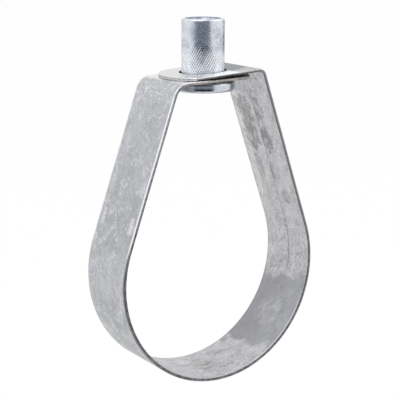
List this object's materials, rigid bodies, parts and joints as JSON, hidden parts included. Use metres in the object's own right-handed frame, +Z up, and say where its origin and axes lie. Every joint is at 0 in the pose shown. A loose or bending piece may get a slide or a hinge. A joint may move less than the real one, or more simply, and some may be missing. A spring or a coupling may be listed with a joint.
{
  "type": "swivel ring hanger",
  "caption": "Teardrop strap hanger that holds a pipe under a threaded rod. The folded band turns about a knurled, flanged nut.",
  "frame": {"origin": "centre of the pipe ring, midway across the strip", "axes": "+Z up along the hanging rod, +Y along the pipe, +X towards the leg whose leaf lies on top"},
  "size_m": [0.0672, 0.0214, 0.1083],
  "materials": {
    "galvanised_strip": "galvanised sheet, dull grey with faint cloudy spangle and sheared edges",
    "zinc_plated_nut": "bright zinc plate over a fine diamond knurl that fades towards the top"
  },
  "bodies": {
    "nut": {"swivel_nut": "zinc_plated_nut"},
    "band": {"ring_band": "galvanised_strip"}
  },
  "joints": [
    {"name": "swivel", "type": "hinge", "parent": "nut", "child": "band", "pos_m": [0, 0, 0.05725], "axis": [0, 0, 1], "continuous": true}
  ]
}
